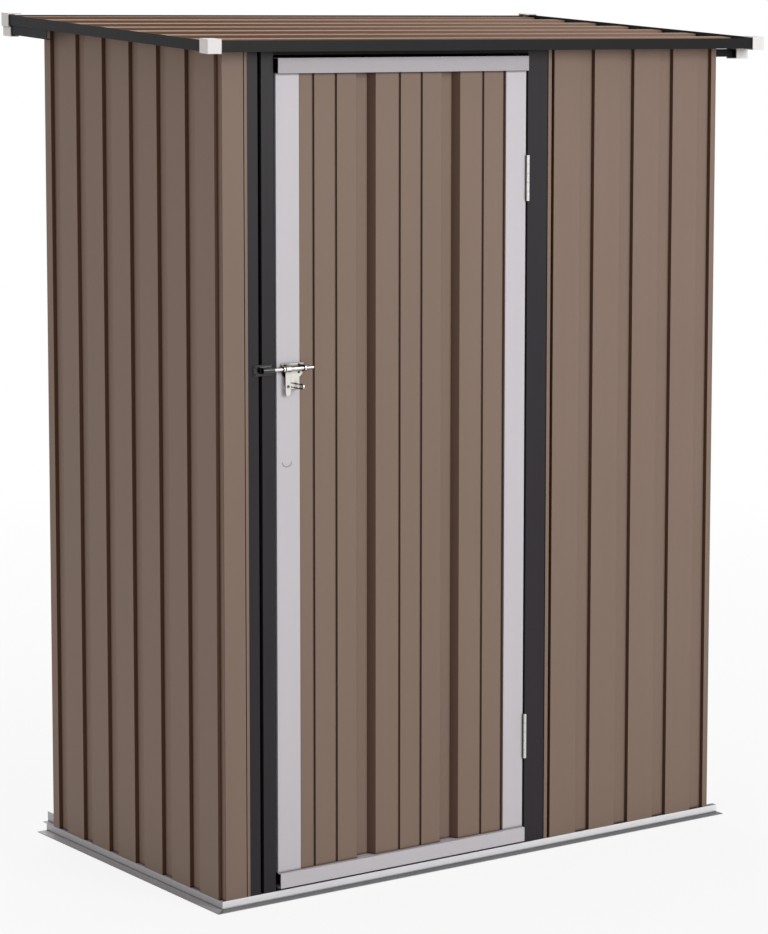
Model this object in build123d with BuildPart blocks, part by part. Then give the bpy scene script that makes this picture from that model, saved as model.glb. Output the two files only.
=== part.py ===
from build123d import *
import os
from math import atan, ceil, cos, sin

# Lengths are in millimetres. X runs to the right, Y to the rear and Z up. The origin is on the
# ground under the middle of the roof. Depths are measured inward from the outer face of a wall.

# Walls, over their raised ribs
wall_width = 1337
wall_depth = 722.5

# Roof outline past each wall, and its height over the edge rails
roof_past_left = 58
roof_past_right = 94
roof_past_front = 56
roof_past_rear = 90
front_height = 1805
rear_height = 1860

# Sheet steel
sheet_gauge = 0.8
frame_gauge = 1.2
base_gauge = 1.2
seat = 0.3

# Ribs of the wall sheets
rib_pitch = 113.5
rib_crown = 73.5
rib_flank = 2.3
rib_depth = 8.3
side_first_rib = 14.8

# Ribs of the roof sheets: the same depth, but narrow ribs and wide pans
roof_rib_pitch = 122.5
roof_rib_crown = 38
roof_rib_flank = 2.3
roof_first_rib = 103
roof_front_sheet = 440
roof_lap = 30
roof_lap_rise = 1.2
roof_lap_step = 1.5
sheet_below_rails = 5

# Roof edge rails and their plastic corner caps
roof_rail_height = 23
roof_rail_width = 20
rear_rail_drop = 2
cap_width = 33
cap_length = 31
cap_wall = 2.2
cap_slack = 1

# Base rails: ground flange, web, ledge under the wall and upstand behind it
base_flange = 24
base_web = 16
base_ledge = 12.5
base_upstand = 22
base_past_right = 30
base_past_rear = 33
ledge_past_rear = 50

# Front panels: the folded corner strip and the ribbed panel right of the door
corner_panel_width = 70
corner_groove_place = 61
corner_groove_width = 2
corner_groove_depth = 5
corner_return = 25
panel_lip = 9
panel_first_rib = 17
front_return = 8

# Door posts, on both sides of the door opening
door_place = 140
door_width = 650
door_gap = 6
post_left_flat = 25
post_groove_width = 9
post_groove_depth = 14
post_depth = 34
post_stop = 18
post_stop_depth = 28
post_right_flat = 34
post_right_step = 1.5
panel_right_place = 852

# Inside frame
corner_post_leg = 28
top_rail_height = 17.5
top_rail_width = 20
top_rail_below = 42
head_height = 18
head_width = 20
lower_cap_length = 34
lower_cap_below = 4.2
lower_cap_front = 12
mid_rail_height = 30
mid_rail_width = 14
mid_rail_place = 900
roof_beam_height = 16
roof_beam_width = 30
stub_height = 20.5
stub_width = 16
stub_past_left = 4
stub_before_wall = 104

# Door leaf
door_bottom = 24
door_below_roof = 36
door_depth = 22
door_gauge = 1
stile_left_width = 57
stile_right_width = 54
stile_lip = 30
door_rail_height = 31.5
door_rail_proud = 10
valley_first = 227
valley_pitch = 221
valley_count = 2
valley_width = 50
valley_floor = 29
valley_depth = 18
groove_first = 121.5
groove_pitch = 220.5
groove_spacing = 57
groove_width = 7
groove_floor = 3
groove_depth = 4
brace_place = 880
brace_height = 30
brace_width = 12

# Hinges
hinge_height = 100
hinge_low = 262
hinge_high = 1504
hinge_plate = 20
hinge_plate_gauge = 1.2
barrel_radius = 3.5
barrel_proud = 5
hinge_plate_proud = 1
pin_radius = 1.5
pin_clearance = 0.3
knuckles = 5
knuckle_gap = 0.4

# Latch on the left stile, and its keeper on the left post
latch_height = 1127
latch_centre = 178
latch_bar_width = 56
latch_bar_above = 10.5
latch_shoulder_width = 50
latch_shoulder_drop = 12.5
latch_neck_width = 34
latch_neck_drop = 19.5
latch_foot_drop = 44
latch_gauge = 1.5
bolt_radius = 4
bolt_tip_radius = 3
bolt_tip_length = 20
bolt_length = 106
bolt_place = 120
bolt_clearance = 0.4
guide_width = 4
guide_wall = 2
tongue_width = 12.5
tongue_place = 156
tongue_collar = 6.5
tongue_length = 56
tongue_gauge = 2.5
tongue_hole = 3.6
tongue_hole_drop = 37
staple_place = 187
staple_drop = 37
staple_wire = 3
staple_height = 12
staple_reach = 24
keeper_place = 82
keeper_width = 45
keeper_bridge = 28
keeper_height = 23
keeper_wall = 2
keeper_clearance = 1

os.makedirs("parts", exist_ok=True)

# Outline of the roof and places of the wall faces
roof_width = roof_past_left + wall_width + roof_past_right
roof_depth = roof_past_front + wall_depth + roof_past_rear
left_x = roof_past_left - roof_width / 2
right_x = left_x + wall_width
front_y = roof_past_front - roof_depth / 2
rear_y = front_y + wall_depth
slope = (rear_height - front_height) / roof_depth
slope_angle = atan(slope)
uphill = Vector(0, cos(slope_angle), sin(slope_angle))
door_top = front_height - door_below_roof
behind_sheet = rib_depth + sheet_gauge + seat
rail_inset = behind_sheet + top_rail_width + seat

# The front top rail is measured down from the front edge of the roof. Where the roof falls to the
# rear, the rail is lower by the fall of the roof over it.
fall_to_rail = min(slope, 0) * (roof_past_front + rail_inset)
top_rail_bottom = front_height + fall_to_rail - top_rail_below


def rail_top(y):
    """Height of the top of the roof rails at a place between front and rear."""
    return front_height + (y + roof_depth / 2) * slope


def under_roof(y):
    """Height just below the pans of the roof sheets."""
    return rail_top(y) - sheet_below_rails - rib_depth - sheet_gauge - seat


def facing_front(x, y, z):
    """Plane for a sketch seen from above, X to the right and depth to the rear."""
    return Plane(origin=(x, y, z), x_dir=(1, 0, 0), z_dir=(0, 0, 1))


def across(x, y, z):
    """Plane for the cross-section of a piece that runs to the right: Y and height."""
    return Plane(origin=(x, y, z), x_dir=(0, 1, 0), z_dir=(1, 0, 0))


def endwise(x, y, z):
    """Plane for the cross-section of a piece that runs to the rear: X and height."""
    return Plane(origin=(x, y, z), x_dir=(1, 0, 0), z_dir=(0, -1, 0))


def strip(points, gauge, side=Side.LEFT):
    """Cross-section of sheet steel folded along the points, its gauge laid to one side."""
    line = [Vector(*point) for point in points]
    runs = [(end - start).normalized() for start, end in zip(line, line[1:])]
    lay = gauge if side == Side.LEFT else -gauge
    squares = [Vector(-run.Y, run.X) for run in runs]
    laid = []
    for point, before, after in zip(line, squares[:1] + squares, squares + squares[-1:]):
        laid.append(point + (before + after) * (lay / (1 + before.dot(after))))
    with BuildSketch() as section:
        with BuildLine():
            Polyline(*line, *reversed(laid), close=True)
        make_face()
    return section.sketch


def rib_points(length, first, pitch, crown, flank, depth):
    """Fold points of a ribbed sheet: distance along it, and depth below the rib crowns."""
    folds = []
    for number in range(-1, ceil(length / pitch) + 1):
        start = first + number * pitch
        folds += [(start - flank, depth), (start, 0)]
        folds += [(start + crown, 0), (start + crown + flank, depth)]
    inner = [fold for fold in folds if flank < fold[0] < length - flank]
    before = [fold for fold in folds if fold[0] <= flank]
    after = [fold for fold in folds if fold[0] >= length - flank]
    return [(0, before[-1][1])] + inner + [(length, after[0][1])]


def save(builder, name):
    """Label one finished piece and write it under its own name."""
    builder.part.label = name
    export_step(builder.part, f"parts/{name}.step")


def base_section(sign):
    """Base rail: flange on the ground, web, ledge under the sheet and upstand behind it."""
    folds = [(-base_flange, 0), (0, 0), (0, base_web), (base_ledge, base_web)]
    folds += [(base_ledge, base_web + base_upstand)]
    folds = [(sign * depth, height) for depth, height in folds]
    return strip(folds, base_gauge, Side.RIGHT if sign > 0 else Side.LEFT)


# The base rails are mitred where the front and left rails meet and where the right and rear
# rails meet. The front rail runs on past the right wall, and the left rail past the rear wall.
# The front rail has no upstand in the doorway and none past the right wall.
upstand_back = base_ledge + base_gauge + seat
upstand_height = base_upstand + base_gauge
post_edge = door_place - door_gap
post_hinge_edge = door_place + door_width + door_gap
sheet_back = rib_depth + sheet_gauge
corner_reach = sheet_back + sheet_gauge + frame_gauge + 3 * seat
front_notches = [
    (corner_panel_width, panel_right_place),
    (wall_width - corner_reach, wall_width + base_past_right),
]
front_mitre = Plane(origin=(left_x, front_y, 0), x_dir=(0, 0, 1), z_dir=(1, -1, 0))
rear_mitre = Plane(origin=(right_x, rear_y, 0), x_dir=(0, 0, 1), z_dir=(1, -1, 0))
rail_lift = base_gauge
ledge_top = rail_lift + base_web

with BuildPart() as base_rail_front:
    with BuildSketch(across(left_x - base_flange, front_y, rail_lift)):
        add(base_section(1))
    extrude(amount=base_flange + wall_width + base_past_right)
    for start, end in front_notches:
        with BuildSketch(facing_front(left_x + start, front_y + base_ledge, ledge_top)):
            Rectangle(end - start, base_flange, align=(Align.MIN, Align.MIN))
        extrude(amount=upstand_height, mode=Mode.SUBTRACT)
    split(bisect_by=front_mitre.offset(seat), keep=Keep.TOP)
save(base_rail_front, "base_rail_front")

with BuildPart() as base_rail_left:
    with BuildSketch(endwise(left_x, front_y - base_flange, rail_lift)):
        add(base_section(1))
    extrude(amount=-(base_flange + wall_depth + base_past_rear))
    with BuildSketch(endwise(left_x, rear_y, rail_lift)):
        ledge = [(0, base_web), (base_ledge, base_web), (base_ledge, base_web + base_upstand)]
        add(strip(ledge, base_gauge, Side.RIGHT))
    extrude(amount=-ledge_past_rear)
    with BuildSketch(facing_front(left_x + base_ledge, rear_y + seat, ledge_top)):
        Rectangle(base_ledge, corner_reach + seat, align=(Align.MIN, Align.MAX))
    extrude(amount=upstand_height, mode=Mode.SUBTRACT)
    split(bisect_by=front_mitre, keep=Keep.BOTTOM)
save(base_rail_left, "base_rail_left")

with BuildPart() as base_rail_right:
    with BuildSketch(endwise(right_x, front_y + upstand_back, rail_lift)):
        add(base_section(-1))
    extrude(amount=-(wall_depth - upstand_back + base_flange))
    split(bisect_by=rear_mitre.offset(seat), keep=Keep.TOP)
save(base_rail_right, "base_rail_right")

with BuildPart() as base_rail_rear:
    with BuildSketch(across(left_x + upstand_back, rear_y, rail_lift)):
        add(base_section(-1))
    extrude(amount=wall_width - upstand_back + base_flange)
    split(bisect_by=rear_mitre, keep=Keep.BOTTOM)
save(base_rail_rear, "base_rail_rear")

# Wall sheets stand on the ledges of the base rails and stop just below the roof sheets.
sheet_foot = rail_lift + base_web + seat
roof_cut = Plane(
    origin=(0, front_y, under_roof(front_y)), x_dir=(1, 0, 0), z_dir=(0, -slope, 1)
)
wall_ribs = (rib_pitch, rib_crown, rib_flank, rib_depth)
side_ribs = rib_points(wall_depth, side_first_rib, *wall_ribs)
full_height = rear_height - sheet_foot

with BuildPart() as left_wall:
    with BuildSketch(Plane(origin=(left_x, front_y, sheet_foot), x_dir=(0, 1, 0))):
        add(strip([(along, -depth) for along, depth in side_ribs], sheet_gauge, Side.RIGHT))
    extrude(amount=full_height)
    split(bisect_by=roof_cut, keep=Keep.BOTTOM)
save(left_wall, "left_wall")

# The front top rail passes out through a notch in the front top corner of the right wall.
notch_bottom = top_rail_bottom - seat
with BuildPart() as right_wall:
    with BuildSketch(Plane(origin=(right_x, front_y, sheet_foot), x_dir=(0, 1, 0))):
        add(strip(side_ribs, sheet_gauge, Side.LEFT))
        with Locations((0, 0)):
            Rectangle(sheet_gauge + seat, rib_depth * 2 + sheet_gauge * 2,
                      align=(Align.MIN, Align.CENTER), mode=Mode.SUBTRACT)
    extrude(amount=full_height)
    with BuildSketch(facing_front(right_x, front_y, notch_bottom)):
        Rectangle(behind_sheet * 2, rail_inset, align=(Align.CENTER, Align.MIN))
    extrude(amount=full_height, mode=Mode.SUBTRACT)
    split(bisect_by=roof_cut, keep=Keep.BOTTOM)
save(right_wall, "right_wall")

# The rear wall is two sheets that meet side by side.
rear_reach = wall_width - 2 * behind_sheet
rear_sheet_width = rear_reach / 2
rear_top = under_roof(rear_y - behind_sheet) - sheet_foot
rear_ribs = rib_points(rear_sheet_width, side_first_rib, *wall_ribs)
rear_centre = (left_x + right_x) / 2
for name, place in (("rear_wall_left", rear_centre), ("rear_wall_right", right_x - behind_sheet)):
    with BuildPart() as rear_wall:
        with BuildSketch(Plane(origin=(place - seat, rear_y, sheet_foot), x_dir=(-1, 0, 0))):
            add(strip(rear_ribs, sheet_gauge, Side.LEFT))
        extrude(amount=rear_top)
    save(rear_wall, name)

# Folded corner strip left of the door, with a narrow groove beside its lip.
front_top = under_roof(front_y) - sheet_foot
groove_left = corner_groove_place
groove_right = corner_groove_place + corner_groove_width
corner_folds = [(behind_sheet, corner_return), (behind_sheet, 0), (groove_left, 0)]
corner_folds += [(groove_left, corner_groove_depth), (groove_right, corner_groove_depth)]
corner_folds += [(groove_right, 0), (corner_panel_width, 0)]
with BuildPart() as front_corner_panel:
    with BuildSketch(facing_front(left_x, front_y, sheet_foot)):
        add(strip(corner_folds, sheet_gauge))
    extrude(amount=front_top)
save(front_corner_panel, "front_corner_panel")

# Ribbed panel right of the door, with a lip beside the post and a return round the corner.
panel_width = wall_width - panel_right_place
panel_folds = rib_points(panel_width, panel_first_rib, *wall_ribs)
panel_folds = [fold for fold in panel_folds if fold[0] > panel_lip + rib_flank]
panel_folds = [(0, 0), (panel_lip, 0), (panel_lip + rib_flank, rib_depth)] + panel_folds
panel_folds += [(panel_width, front_return)]
with BuildPart() as front_wall_right:
    with BuildSketch(facing_front(left_x + panel_right_place, front_y, sheet_foot)):
        add(strip(panel_folds, sheet_gauge))
    extrude(amount=front_top)
save(front_wall_right, "front_wall_right")

# Door posts. Each has a stop that the closed door comes up to, hidden behind the stile.
door_left = left_x + door_place
door_right = door_left + door_width
post_start = corner_panel_width + seat
groove_start = post_start + post_left_flat
groove_end = groove_start + post_groove_width
left_folds = [(post_start, post_depth), (post_start, 0), (groove_start, 0)]
left_folds += [(groove_start, post_groove_depth), (groove_end, post_groove_depth)]
left_folds += [(groove_end, 0), (post_edge, 0), (post_edge, post_stop_depth)]
left_folds += [(post_edge + post_stop, post_stop_depth)]
with BuildPart() as door_post_left:
    with BuildSketch(facing_front(left_x, front_y, sheet_foot)):
        add(strip(left_folds, frame_gauge))
    extrude(amount=front_top)
save(door_post_left, "door_post_left")

step_place = post_hinge_edge + post_right_flat
post_end = panel_right_place - seat
right_folds = [(post_hinge_edge - post_stop, post_stop_depth)]
right_folds += [(post_hinge_edge, post_stop_depth), (post_hinge_edge, 0), (step_place, 0)]
right_folds += [(step_place, post_right_step), (post_end, post_right_step)]
right_folds += [(post_end, post_depth)]
with BuildPart() as door_post_right:
    with BuildSketch(facing_front(left_x, front_y, sheet_foot)):
        add(strip(right_folds, frame_gauge))
    extrude(amount=front_top)
save(door_post_right, "door_post_right")

# Angle posts inside the four corners, up to the top rails.
post_inset = behind_sheet + sheet_gauge + seat
rear_rail_roof = min(under_roof(rear_y - rail_inset), under_roof(rear_y - behind_sheet))
rear_rail_bottom = rear_rail_roof - top_rail_height
rear_post_top = rear_rail_bottom - corner_post_leg * slope - seat
side_rail_bottom = under_roof(front_y + rail_inset) - top_rail_height
corners = {
    "corner_post_front_left": (left_x, front_y, 1, 1, side_rail_bottom - seat),
    "corner_post_front_right": (right_x, front_y, -1, 1, top_rail_bottom - seat),
    "corner_post_rear_left": (left_x, rear_y, 1, -1, rear_post_top),
    "corner_post_rear_right": (right_x, rear_y, -1, -1, rear_post_top),
}
for name, (x, y, to_right, to_rear, top) in corners.items():
    leg_x = to_right * corner_post_leg
    leg_y = to_rear * corner_post_leg
    with BuildPart() as corner_post:
        origin_x = x + to_right * post_inset
        origin_y = y + to_rear * behind_sheet
        with BuildSketch(facing_front(origin_x, origin_y, sheet_foot)):
            inside = Side.LEFT if to_right * to_rear < 0 else Side.RIGHT
            add(strip([(leg_x, 0), (0, 0), (0, leg_y)], frame_gauge, inside))
        extrude(amount=top - sheet_foot)
    save(corner_post, name)


def channel(width, height, sign=1):
    """Channel section with its web at the wall and its flanges turned inward."""
    folds = [(sign * width, 0), (0, 0), (0, height), (sign * width, height)]
    return strip(folds, frame_gauge, Side.RIGHT if sign > 0 else Side.LEFT)


# Head over the doorway, between the door posts.
with BuildPart() as door_head:
    with BuildSketch(across(left_x + post_edge + seat, front_y, door_top + door_gap)):
        add(channel(head_width, head_height))
    extrude(amount=post_hinge_edge - post_edge - 2 * seat)
save(door_head, "door_head")

# Top rails behind the heads of the walls. The front one starts at the right door post and runs
# on past the right wall.
edge_inset = cap_wall + seat
top_rail_start = left_x + panel_right_place + seat
top_rail_end = right_x + roof_past_right - edge_inset
with BuildPart() as top_rail_front:
    with BuildSketch(across(top_rail_start, front_y + behind_sheet, top_rail_bottom)):
        add(channel(top_rail_width, top_rail_height))
    extrude(amount=top_rail_end - top_rail_start)
save(top_rail_front, "top_rail_front")

with BuildPart() as top_rail_rear:
    with BuildSketch(across(left_x + behind_sheet, rear_y - behind_sheet, rear_rail_bottom)):
        add(channel(top_rail_width, top_rail_height, -1))
    extrude(amount=wall_width - 2 * behind_sheet)
save(top_rail_rear, "top_rail_rear")

side_rail_length = (wall_depth - 2 * rail_inset) / cos(slope_angle)
side_rails = (("top_rail_left", left_x, 1), ("top_rail_right", right_x, -1))
for name, x, sign in side_rails:
    with BuildPart() as top_rail:
        side_start = (x + sign * behind_sheet, front_y + rail_inset, side_rail_bottom)
        with BuildSketch(endwise(*side_start)):
            add(channel(top_rail_width, top_rail_height, sign))
        extrude(amount=side_rail_length, dir=uphill)
    save(top_rail, name)

# Middle rails that stiffen the sheets between the corner posts.
mid_inset = behind_sheet + corner_post_leg + seat
for name, x, sign in (("mid_rail_left", left_x, 1), ("mid_rail_right", right_x, -1)):
    with BuildPart() as mid_rail:
        with BuildSketch(endwise(x + sign * behind_sheet, front_y + mid_inset, mid_rail_place)):
            add(channel(mid_rail_width, mid_rail_height, sign))
        extrude(amount=-(wall_depth - 2 * mid_inset))
    save(mid_rail, name)

rear_inset = post_inset + corner_post_leg + seat
with BuildPart() as mid_rail_rear:
    with BuildSketch(across(left_x + rear_inset, rear_y - behind_sheet, mid_rail_place)):
        add(channel(mid_rail_width, mid_rail_height, -1))
    extrude(amount=wall_width - 2 * rear_inset)
save(mid_rail_rear, "mid_rail_rear")

# Roof edge rails: a tall outer web, a bottom flange and a low inner web under the sheets.
roof_left = -roof_width / 2 + edge_inset
roof_right = roof_width / 2 - edge_inset
roof_front = -roof_depth / 2 + edge_inset
roof_rear = roof_depth / 2 - edge_inset
inner_web = roof_rail_height - sheet_below_rails - sheet_back - seat


def roof_rail_section(sign, tilt, web):
    """Roof edge rail: its outer web at zero, its flange tilted, its low inner web turned up."""
    inner = sign * roof_rail_width
    folds = [(0, web), (0, 0), (inner, inner * tilt)]
    folds += [(inner, inner * tilt + inner_web)]
    return strip(folds, frame_gauge, Side.LEFT if sign > 0 else Side.RIGHT)


roof_run = (roof_rear - roof_front) / cos(slope_angle)
for name, x, sign in (("roof_rail_left", roof_left, 1), ("roof_rail_right", roof_right, -1)):
    with BuildPart() as roof_rail:
        with BuildSketch(endwise(x, roof_front, rail_top(roof_front) - roof_rail_height)):
            add(roof_rail_section(sign, 0, roof_rail_height))
        extrude(amount=roof_run, dir=uphill)
    save(roof_rail, name)

between_rails = roof_right - roof_left - 2 * (roof_rail_width + seat)
front_web = roof_rail_height
rear_web = roof_rail_height - rear_rail_drop
end_rails = (
    ("roof_rail_front", roof_front, 1, front_web),
    ("roof_rail_rear", roof_rear, -1, rear_web),
)
for name, y, sign, web in end_rails:
    with BuildPart() as roof_rail:
        rail_start = roof_left + roof_rail_width + seat
        with BuildSketch(across(rail_start, y, rail_top(y) - roof_rail_height)):
            add(roof_rail_section(sign, slope, web))
        extrude(amount=between_rails)
    save(roof_rail, name)

# Two ribbed roof sheets, ribs from side to side. The rear one laps over the front one.
roof_ribs = (roof_rib_pitch, roof_rib_crown, roof_rib_flank, rib_depth)
sheet_edge = frame_gauge + seat
sheet_left = roof_left + sheet_edge
sheet_right = roof_right - sheet_edge
sheet_front = roof_front + sheet_edge
sheet_run = roof_rear - sheet_edge - sheet_front
rear_sheet_start = roof_front_sheet - roof_lap


def roof_sheet_section(folds):
    """Cross-section of a roof sheet laid along the slope."""
    return strip([(run, run * slope - depth) for run, depth in folds], sheet_gauge, Side.RIGHT)


with BuildPart() as roof_sheet_front:
    with BuildSketch(across(sheet_left, sheet_front, rail_top(sheet_front) - sheet_below_rails)):
        add(roof_sheet_section(rib_points(roof_front_sheet, roof_first_rib, *roof_ribs)))
    extrude(amount=sheet_right - sheet_left)
save(roof_sheet_front, "roof_sheet_front")

lap_y = sheet_front + rear_sheet_start
lapped_folds = rib_points(sheet_run, roof_first_rib, *roof_ribs)
lapped_folds = [(run - rear_sheet_start, depth) for run, depth in lapped_folds]
lapped_folds = [fold for fold in lapped_folds if fold[0] > roof_lap + roof_lap_step]
lap_level = rib_depth - roof_lap_rise
lap_folds = [(0, lap_level), (roof_lap, lap_level), (roof_lap + roof_lap_step, rib_depth)]
with BuildPart() as roof_sheet_rear:
    with BuildSketch(across(sheet_left, lap_y, rail_top(lap_y) - sheet_below_rails)):
        add(roof_sheet_section(lap_folds + lapped_folds))
    extrude(amount=sheet_right - sheet_left)
save(roof_sheet_rear, "roof_sheet_rear")

# Roof beam under the lap, between the side top rails.
beam_x = left_x + rail_inset
with BuildPart() as roof_beam:
    with BuildSketch(across(beam_x, lap_y, under_roof(lap_y) - roof_beam_height)):
        beam_rise = roof_beam_width * slope
        beam_folds = [(0, 0), (0, roof_beam_height)]
        beam_folds += [(roof_beam_width, roof_beam_height + beam_rise), (roof_beam_width, beam_rise)]
        add(strip(beam_folds, frame_gauge, Side.RIGHT))
    extrude(amount=wall_width - 2 * rail_inset)
save(roof_beam, "roof_beam")

# Short lower rail under the left roof rail, across the rear wall's end. Its top is cut away under
# the corner cap of the roof.
cap_reach = cap_wall + seat
cap_over = cap_wall + cap_slack
cap_rear_y = roof_depth / 2 - cap_length
stub_x = stub_past_left + cap_reach - roof_width / 2
stub_y = rear_y - stub_before_wall
stub_end = roof_depth / 2 - edge_inset
stub_below = roof_rail_height + seat + stub_height
with BuildPart() as rear_left_rail_stub:
    with BuildSketch(endwise(stub_x, stub_y, rail_top(stub_y) - stub_below)):
        add(channel(stub_width, stub_height))
    extrude(amount=(stub_end - stub_y) / cos(slope_angle), dir=uphill)
    cut_y = cap_rear_y - seat
    cut_bottom = rail_top(cut_y) - roof_rail_height - cap_over - seat
    with BuildSketch(endwise(stub_x, cut_y, cut_bottom)):
        Rectangle(stub_width, cap_length, align=(Align.MIN, Align.MIN))
    extrude(amount=cap_length / cos(slope_angle), dir=uphill, mode=Mode.SUBTRACT)
save(rear_left_rail_stub, "rear_left_rail_stub")

# Plastic caps, open towards the rails that enter them: one over each corner of the roof, and
# one over the outer end of each lower rail.
cap_tall = roof_rail_height + 2 * cap_over
cap_corners = (
    (-roof_width / 2, -roof_depth / 2, 1, 0),
    (roof_width / 2, -roof_depth / 2, -1, 0),
    (-roof_width / 2, cap_rear_y, 1, 1),
    (roof_width / 2, cap_rear_y, -1, 1),
)
front_cap_x = top_rail_end + cap_reach - lower_cap_length
front_cap_y = front_y + behind_sheet - lower_cap_front
front_cap_z = top_rail_bottom - lower_cap_below
front_cap_wide = lower_cap_front + top_rail_width + cap_reach
front_cap_tall = lower_cap_below + top_rail_height + cap_reach
rear_cap_y = stub_end + cap_reach - lower_cap_length
rear_cap_z = rail_top(rear_cap_y) - stub_below - lower_cap_below
rear_cap_wide = stub_width + 2 * cap_reach
rear_cap_tall = stub_below + lower_cap_below - roof_rail_height - cap_over - seat
rear_cap_run = (lower_cap_length - cap_wall) / cos(slope_angle)
corner = (Align.MIN, Align.MIN)
with BuildPart() as plastic_caps:
    for x, y, sign, at_rear in cap_corners:
        cap_align = (Align.MIN if sign > 0 else Align.MAX, Align.MIN)
        with BuildSketch(endwise(x, y, rail_top(y) - roof_rail_height - cap_over)):
            Rectangle(cap_width, cap_tall, align=cap_align)
        extrude(amount=cap_length / cos(slope_angle), dir=uphill)
        inner_y = y + (0 if at_rear else cap_wall)
        inner_bottom = rail_top(inner_y) - roof_rail_height - cap_slack
        with BuildSketch(endwise(x + sign * cap_wall, inner_y, inner_bottom)):
            Rectangle(cap_width, roof_rail_height + 2 * cap_slack, align=cap_align)
        extrude(amount=(cap_length - cap_wall) / cos(slope_angle), dir=uphill, mode=Mode.SUBTRACT)
    with BuildSketch(across(front_cap_x, front_cap_y, front_cap_z)):
        Rectangle(front_cap_wide, front_cap_tall, align=corner)
    extrude(amount=lower_cap_length)
    with BuildSketch(across(front_cap_x, front_cap_y + cap_wall, front_cap_z + cap_wall)):
        Rectangle(front_cap_wide - 2 * cap_wall, front_cap_tall - 2 * cap_wall, align=corner)
    extrude(amount=lower_cap_length - cap_wall, mode=Mode.SUBTRACT)
    with BuildSketch(endwise(stub_x - cap_reach, rear_cap_y, rear_cap_z)):
        Rectangle(rear_cap_wide, rear_cap_tall, align=corner)
    extrude(amount=lower_cap_length / cos(slope_angle), dir=uphill)
    with BuildSketch(endwise(stub_x - seat, rear_cap_y, rear_cap_z + cap_wall)):
        Rectangle(rear_cap_wide - 2 * cap_wall, rear_cap_tall, align=corner)
    extrude(amount=rear_cap_run, dir=uphill, mode=Mode.SUBTRACT)
save(plastic_caps, "plastic_caps")

# Door leaf: stiles between proud top and bottom rails, and a sheet with valleys and grooves.
rail_seat = door_bottom + door_rail_height + seat
stile_height = door_top - door_bottom - 2 * (door_rail_height + seat)
stiles = (
    ("door_stile_left", door_left, 1, stile_left_width),
    ("door_stile_right", door_right, -1, stile_right_width),
)
for name, x, sign, width in stiles:
    folds = [(sign * stile_lip, door_depth), (0, door_depth), (0, 0), (sign * width, 0)]
    with BuildPart() as stile:
        with BuildSketch(facing_front(x, front_y, rail_seat)):
            add(strip(folds, door_gauge, Side.LEFT if sign > 0 else Side.RIGHT))
        extrude(amount=stile_height)
    save(stile, name)

door_rails = (
    ("door_rail_bottom", door_bottom),
    ("door_rail_top", door_top - door_rail_height),
)
for name, z in door_rails:
    folds = [(door_depth, door_rail_height), (-door_rail_proud, door_rail_height)]
    folds += [(-door_rail_proud, 0), (door_depth, 0)]
    with BuildPart() as door_rail:
        with BuildSketch(across(door_left, front_y, z)):
            add(strip(folds, door_gauge))
        extrude(amount=door_width)
    save(door_rail, name)


def dip(centre, width, floor, depth):
    """Fold points of one trapezoid dip in the door sheet."""
    edges = [(centre - width / 2, 0), (centre - floor / 2, depth)]
    return edges + [(centre + floor / 2, depth), (centre + width / 2, 0)]


sheet_inset = door_gauge + seat
dips = []
for number in range(valley_count):
    dips += dip(valley_first + number * valley_pitch, valley_width, valley_floor, valley_depth)
for number in range(valley_count + 1):
    for half in (-groove_spacing / 2, groove_spacing / 2):
        centre = groove_first + number * groove_pitch + half
        dips += dip(centre, groove_width, groove_floor, groove_depth)
door_folds = [(sheet_inset, 0)] + sorted(dips) + [(door_width - sheet_inset, 0)]
with BuildPart() as door_sheet:
    with BuildSketch(facing_front(door_left, front_y + sheet_inset, rail_seat)):
        add(strip(door_folds, sheet_gauge))
    extrude(amount=stile_height)
save(door_sheet, "door_sheet")

# Cross rail behind the door sheet, between the lips of the stiles.
brace_front = sheet_inset + valley_depth + sheet_gauge + seat
brace_inset = stile_lip + seat
with BuildPart() as door_brace:
    with BuildSketch(across(door_left + brace_inset, front_y + brace_front, brace_place)):
        add(strip([(brace_width, 0), (0, 0), (0, brace_height)], door_gauge, Side.RIGHT))
    extrude(amount=door_width - 2 * brace_inset)
save(door_brace, "door_brace")

# Butt hinges: plates in the gap between stile and post, barrels proud of the door face.
barrel_x = door_right + door_gap / 2
barrel_y = front_y - barrel_proud
plate_front = front_y - hinge_plate_proud
knuckle = hinge_height / knuckles


def hinge_half(z, plate_x, own, radius_in):
    """Plate, tabs and knuckles of one hinge half, added to the piece being built."""
    with BuildSketch(facing_front(plate_x, plate_front, z)) as plate:
        Rectangle(hinge_plate_gauge, hinge_plate, align=(Align.MIN, Align.MIN))
    extrude(plate.sketch, amount=hinge_height)
    for number in own:
        start = z + number * knuckle + knuckle_gap / 2
        with BuildSketch(facing_front(plate_x, barrel_y, start)) as curl:
            Rectangle(hinge_plate_gauge, plate_front - barrel_y, align=(Align.MIN, Align.MIN))
            with Locations((barrel_x - plate_x, 0)):
                Circle(barrel_radius)
        extrude(curl.sketch, amount=knuckle - knuckle_gap)
    if radius_in:
        with BuildSketch(facing_front(barrel_x, barrel_y, z)) as bore:
            Circle(radius_in)
        extrude(bore.sketch, amount=hinge_height, mode=Mode.SUBTRACT)


hinge_feet = [centre - hinge_height / 2 for centre in (hinge_low, hinge_high)]
with BuildPart() as hinge_fixed_leaves:
    for foot in hinge_feet:
        fixed_x = door_right + door_gap - seat - hinge_plate_gauge
        hinge_half(foot, fixed_x, range(0, knuckles, 2), 0)
        with BuildSketch(facing_front(barrel_x, barrel_y, foot)):
            Circle(pin_radius)
        extrude(amount=hinge_height)
save(hinge_fixed_leaves, "hinge_fixed_leaves")

with BuildPart() as hinge_door_leaves:
    for foot in hinge_feet:
        hinge_half(foot, door_right + seat, range(1, knuckles, 2), pin_radius + pin_clearance)
save(hinge_door_leaves, "hinge_door_leaves")

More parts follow.
